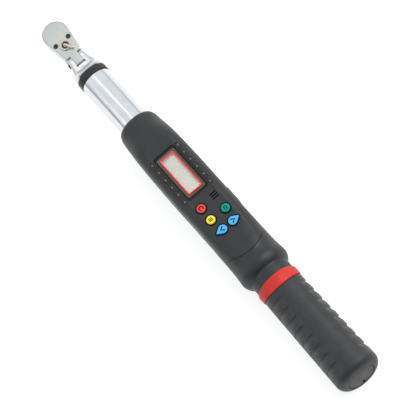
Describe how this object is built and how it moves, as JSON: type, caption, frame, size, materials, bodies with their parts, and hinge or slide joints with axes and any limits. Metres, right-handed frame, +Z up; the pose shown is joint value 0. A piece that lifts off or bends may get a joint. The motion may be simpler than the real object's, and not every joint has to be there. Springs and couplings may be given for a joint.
{
  "type": "electronic torque wrench",
  "caption": "Electronic torque wrench with a flexing ratchet head, small square drive, steel tube, display housing with colour keys and a ribbed rubber battery grip.",
  "frame": {"origin": "centre of the square drive's end face, on the drive axis", "axes": "+Z up the drive axis from the drive's end towards the head's cover, +X from the drive along the tool to the end of the handle"},
  "size_m": [0.3946, 0.0424, 0.0408],
  "materials": {
    "chrome": "polished, slightly satin",
    "chrome_tube": "polished",
    "satin_chrome": "satin",
    "steel": "machined",
    "black_screws": "black oxide",
    "spring_steel": "drawn wire",
    "gauge_foil": "foil on film",
    "black_rubber": "matt",
    "grip_rubber": "soft matt",
    "housing_plastic": "fine texture",
    "bezel_plastic": "semi gloss",
    "frame_red": "gloss",
    "clear_window": "clear",
    "lcd_glass": "matt film",
    "diffuser": "matt",
    "contact_rubber": "matt",
    "circuit_board": "solder mask",
    "component_black": "moulded",
    "strip_smoke": "smoked, translucent",
    "led_body": "clear resin",
    "switch_metal": "plated",
    "key_red": "satin",
    "key_green": "satin",
    "key_yellow": "satin",
    "key_blue": "satin",
    "cable_jacket": "smooth",
    "band_red": "satin",
    "sleeve_plastic": "moulded",
    "cell_jacket": "wrapped",
    "brass_contact": "turned"
  },
  "bodies": {
    "handle": {"flex_yoke": "chrome", "pivot_pin": "steel", "flex_plunger": "steel", "flex_spring": "spring_steel", "strain_gauges": "gauge_foil", "seal_ring": "black_rubber", "main_tube": "chrome_tube", "beam_pins": "steel", "upper_housing": "housing_plastic", "lower_housing": "housing_plastic", "housing_screws": "black_screws", "rear_collar": "housing_plastic", "display_bezel": "bezel_plastic", "display_frame": "frame_red", "display_lens": "clear_window", "lcd_panel": "lcd_glass", "lcd_backlight": "diffuser", "lcd_contact_strips": "contact_rubber", "main_board": "circuit_board", "board_chips": "component_black", "buzzer": "component_black", "led_lens_left": "strip_smoke", "led_lens_right": "strip_smoke", "indicator_leds": "led_body", "button_switches": "switch_metal", "button_rims": "black_rubber", "data_port": "switch_metal", "gauge_cable": "cable_jacket", "battery_cable": "cable_jacket", "red_band": "band_red", "grip": "grip_rubber", "battery_sleeve": "sleeve_plastic", "battery_cells": "cell_jacket", "front_contact": "brass_contact", "cap_insert": "brass_contact"},
    "head": {"head_body": "chrome", "cover_plate": "satin_chrome", "cover_screws": "black_screws"},
    "drive": {"ratchet_drive": "steel"},
    "ball": {"detent_ball": "chrome", "detent_spring": "spring_steel"},
    "pawl": {"pawl": "steel"},
    "lever": {"reverse_lever": "satin_chrome", "lever_plunger": "steel", "lever_spring": "spring_steel"},
    "clear_key": {"clear_button": "key_red"},
    "unit_key": {"unit_button": "key_green"},
    "set_key": {"set_button": "key_yellow"},
    "up_key": {"up_button": "key_blue"},
    "down_key": {"down_button": "key_blue"},
    "port_flap": {"port_cover": "black_rubber"},
    "cap_carrier": {"cap_o_ring": "black_rubber"},
    "cap": {"end_cap": "housing_plastic", "battery_spring": "spring_steel"}
  },
  "joints": [
    {"name": "head_flex", "type": "hinge", "parent": "handle", "child": "head", "pos_m": [0.0275, 0, 0.014], "axis": [0, 1, 0], "range_deg": [-15, 15]},
    {"name": "drive_spin", "type": "hinge", "parent": "head", "child": "drive", "pos_m": [0, 0, 0], "axis": [0, 0, 1], "continuous": true},
    {"name": "ball_press", "type": "slide", "parent": "drive", "child": "ball", "axis": [-1, 0, 0], "range_m": [0, 0.00045], "stiffness_N_per_m": 300},
    {"name": "reverse_throw", "type": "hinge", "parent": "head", "child": "lever", "pos_m": [0.0137, 0, 0.014], "axis": [0, 0, 1], "range_deg": [-60, 0]},
    {"name": "pawl_shift", "type": "hinge", "parent": "head", "child": "pawl", "pos_m": [0, 0, 0.014], "axis": [0, 0, 1], "range_deg": [0, 9]},
    {"name": "clear_press", "type": "slide", "parent": "handle", "child": "clear_key", "axis": [0, 0, -1], "range_m": [0, 0.0008], "stiffness_N_per_m": 500},
    {"name": "unit_press", "type": "slide", "parent": "handle", "child": "unit_key", "axis": [0, 0, -1], "range_m": [0, 0.0008], "stiffness_N_per_m": 500},
    {"name": "set_press", "type": "slide", "parent": "handle", "child": "set_key", "axis": [0, 0, -1], "range_m": [0, 0.0008], "stiffness_N_per_m": 500},
    {"name": "up_press", "type": "slide", "parent": "handle", "child": "up_key", "axis": [0, 0, -1], "range_m": [0, 0.0008], "stiffness_N_per_m": 500},
    {"name": "down_press", "type": "slide", "parent": "handle", "child": "down_key", "axis": [0, 0, -1], "range_m": [0, 0.0008], "stiffness_N_per_m": 500},
    {"name": "port_cover_open", "type": "hinge", "parent": "handle", "child": "port_flap", "pos_m": [0.2043, 0.01965, 0.0135], "axis": [-1, 0, 0], "range_deg": [0, 100]},
    {"name": "cap_travel", "type": "slide", "parent": "handle", "child": "cap_carrier", "axis": [1, 0, 0], "range_m": [0, 0.012]},
    {"name": "cap_unscrew", "type": "hinge", "parent": "cap_carrier", "child": "cap", "pos_m": [0.3836, 0, 0.014], "axis": [1, 0, 0], "range_deg": [0, 1440]}
  ],
  "couplings": [
    {"joint": "pawl_shift", "follows": "reverse_throw", "ratio": -0.15},
    {"joint": "cap_unscrew", "follows": "cap_travel", "rad_per_m": 2094.4}
  ]
}
